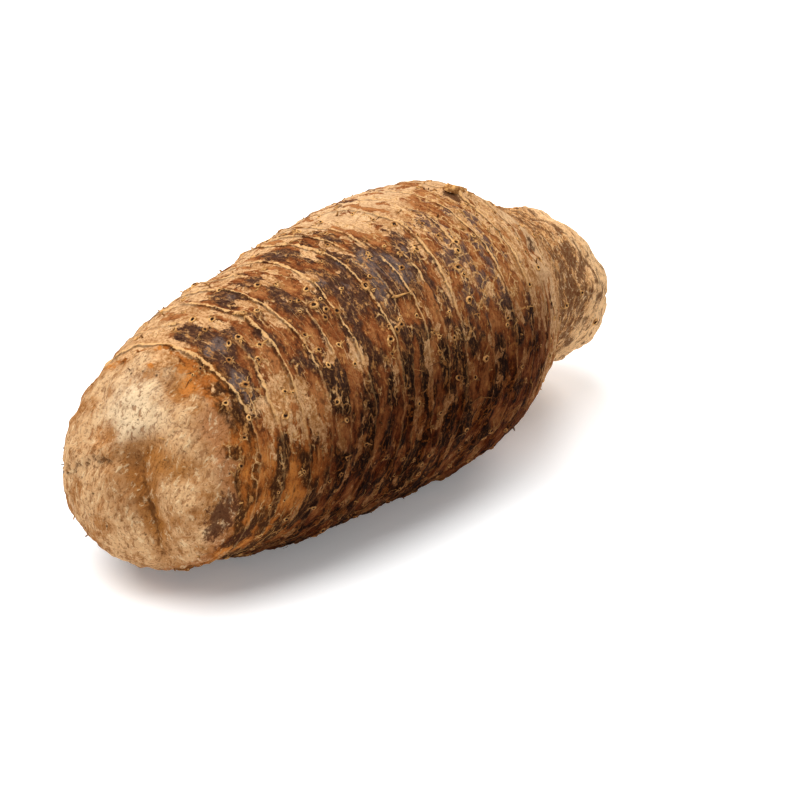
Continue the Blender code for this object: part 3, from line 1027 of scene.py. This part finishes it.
def threads():
    """Each takes even steps and tapers to its tip. The first is the piece that lies loose."""
    draw = np.random.default_rng(8)
    place = draw.uniform(*THREAD_PLACES, THREADS)
    turn = np.radians(draw.normal(*THREAD_TURNS, THREADS))
    heading = drifting(draw, THREADS, THREAD_STEPS)
    steps = draw.uniform(*THREAD_STEP, THREADS)[:, None]
    share = np.linspace(0, 1, THREAD_STEPS)
    lift = -0.5 + 0.7 * fade_in(share, 0, 0.15) + draw.uniform(*THREAD_LIFT, THREADS)[:, None] * share**2
    radii = draw.uniform(*THREAD_RADIUS, THREADS)[:, None] * (1 - 0.7 * share)
    place[0], turn_degrees, heading_degrees, steps[0], radius = LYING_ROOT
    turn[0], heading[0] = np.radians(turn_degrees), np.radians(heading_degrees)
    lift[0], radii[0] = 0.2, radius * (1 - share**2)
    return creeping(place, turn, heading, steps, lift, radii)


def shreds():
    """Each starts at a scar's rim and creeps off it, flat on the skin and then lifting at its tip."""
    draw = np.random.default_rng(12)
    place, turn, size = np.repeat(SCARS[:, :3], SHREDS_EACH, axis=0).T
    count = len(place)
    heading = drifting(draw, count, SHRED_STEPS)
    length = SHRED_LENGTH + SHRED_EXTRA * draw.random(count) ** 2
    steps = np.repeat(length[:, None] / SHRED_STEPS, SHRED_STEPS, axis=1)
    steps[:, 0] = 0.9 * size
    share = np.linspace(0, 1, SHRED_STEPS)
    lift = -0.08 + 0.2 * share + draw.uniform(*SHRED_LIFT, count)[:, None] * share**2
    radii = draw.uniform(*SHRED_RADIUS, count)[:, None] * (1 - 0.8 * share)
    return creeping(place, turn, heading, steps, lift, radii, SHRED_FLATNESS)


def stubs():
    """Each stands up from the skin, leaning a little, and narrows to a broken end."""
    draw = np.random.default_rng(9)
    places, turns = draw.uniform(*STUB_PLACES, STUBS), draw.uniform(-np.pi, np.pi, STUBS)
    lengths = STUB_LENGTH + STUB_EXTRA * draw.random(STUBS) ** 2
    plain_places, plain_turns, plain_lengths = PLAIN_STUBS.T
    places, turns = np.append(places, plain_places), np.append(turns, np.radians(plain_turns))
    lengths = np.append(lengths, plain_lengths)
    out = on_grid(skin_out, places, turns)
    leaning = unit(out + draw.normal(0, STUB_LEAN, out.shape))
    rise = -STUB_ROOT + (lengths[:, None] + STUB_ROOT) * STUB_RISE
    paths = on_grid(skin_points, places, turns)[:, None] + rise[..., None] * MM * leaning[:, None]
    paths[:, 0] -= STUB_CAP * MM * leaning
    paths[:, -1] += STUB_CAP * MM * leaning
    radii = draw.uniform(*STUB_RADIUS, len(lengths))[:, None] * STUB_GIRTH
    points = tubes(paths, radii, np.cross(leaning, ASLANT)[:, None])
    return points, np.broadcast_to(skin_shade(places, turns)[:, None, None], points.shape[:-1])


def root_material():
    """Dry root, tan to brown from one place to the next."""
    material, shader, wire, place = new_material("dried_root")
    finish_dry(shader, wire, wire.noise(place, 0.12, 3.0, 0.8).step(0.38, 0.62).mixed("5a361c", "bd8c52"))
    return material


dried_root = root_material()
all_roots = {"root_threads": threads(), "root_stubs": stubs(), "scar_shreds": shreds()}
for name, (points, shade) in all_roots.items():
    roots = closed_mesh(name, points, {"shade": shade}, dried_root)
    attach(roots, "root")

# The studio: a white sweep under the corm, one large soft lamp above and behind it to the left, a white
# surround, and a long lens that looks down on it from the base end.
SWEEP = 3.0
WHITE, OFF_WHITE = (1, 1, 1, 1), (0.97, 0.97, 0.97, 1)
sweep_corners = [(-SWEEP, -SWEEP, 0), (SWEEP, -SWEEP, 0), (SWEEP, SWEEP, 0), (-SWEEP, SWEEP, 0)]
sweep_mesh = bpy.data.meshes.new("studio_floor")
sweep_mesh.from_pydata(sweep_corners, [], [(0, 1, 2, 3)])
floor = bpy.data.objects.new("studio_floor", sweep_mesh)
bpy.context.scene.collection.objects.link(floor)
white = bpy.data.materials.new("studio_white")
white.use_nodes = True
paper_white = white.node_tree.nodes["Principled BSDF"]
set_inputs(paper_white, Base_Color=OFF_WHITE, Roughness=0.9, Emission_Color=WHITE, Emission_Strength=0.17)
sweep_mesh.materials.append(white)

world = bpy.data.worlds.new("studio_surround")
world.use_nodes = True
set_inputs(world.node_tree.nodes["Background"], Color=WHITE, Strength=0.36)
bpy.context.scene.world = world


def soft_lamp(name, at, size, power, towards):
    """A square area lamp at a place, facing another."""
    lamp = bpy.data.lights.new(name, "AREA")
    lamp.energy = power
    lamp.size = size
    lamp_object = bpy.data.objects.new(name, lamp)
    lamp_object.location = at
    lamp_object.rotation_euler = (Vector(at) - Vector(towards)).to_track_quat("Z", "Y").to_euler()
    bpy.context.scene.collection.objects.link(lamp_object)


soft_lamp("key_lamp", at=(-0.3, 0.25, 1.1), size=1.2, power=21, towards=(0, 0, 0.04))
soft_lamp("crown_lamp", at=(0.7, -0.1, 0.75), size=0.5, power=4, towards=(0.08, 0, 0.05))

# The camera: its height and swing in degrees, its distance, the focal length in pixels of the picture, and
# the point on the corm that falls on one of those pixels
CAMERA_HEIGHT, CAMERA_SWING = np.radians(28), np.radians(40)
CAMERA_AWAY = 0.9
FOCAL_PIXELS, PICTURE_PIXELS = 2709, 804
AIM_POINT, AIM_PIXEL = Vector((-0.0111, 0.0026, 0.045)), (328, 366)
level = np.cos(CAMERA_HEIGHT)
looking = Vector((np.cos(CAMERA_SWING) * level, np.sin(CAMERA_SWING) * level, -np.sin(CAMERA_HEIGHT)))
rightward = Vector((np.sin(CAMERA_SWING), -np.cos(CAMERA_SWING), 0))
upward = rightward.cross(looking)
to_aim = (
    looking
    + rightward * (AIM_PIXEL[0] - PICTURE_PIXELS / 2) / FOCAL_PIXELS
    + upward * (PICTURE_PIXELS / 2 - AIM_PIXEL[1]) / FOCAL_PIXELS
)
lens = bpy.data.cameras.new("camera")
lens.sensor_width = 36
lens.lens = lens.sensor_width * FOCAL_PIXELS / PICTURE_PIXELS
camera = bpy.data.objects.new("camera", lens)
camera.location = AIM_POINT - to_aim * CAMERA_AWAY
camera.rotation_euler = looking.to_track_quat("-Z", "Y").to_euler()
bpy.context.scene.collection.objects.link(camera)
bpy.context.scene.camera = camera
bpy.context.scene.view_settings.view_transform = "Standard"
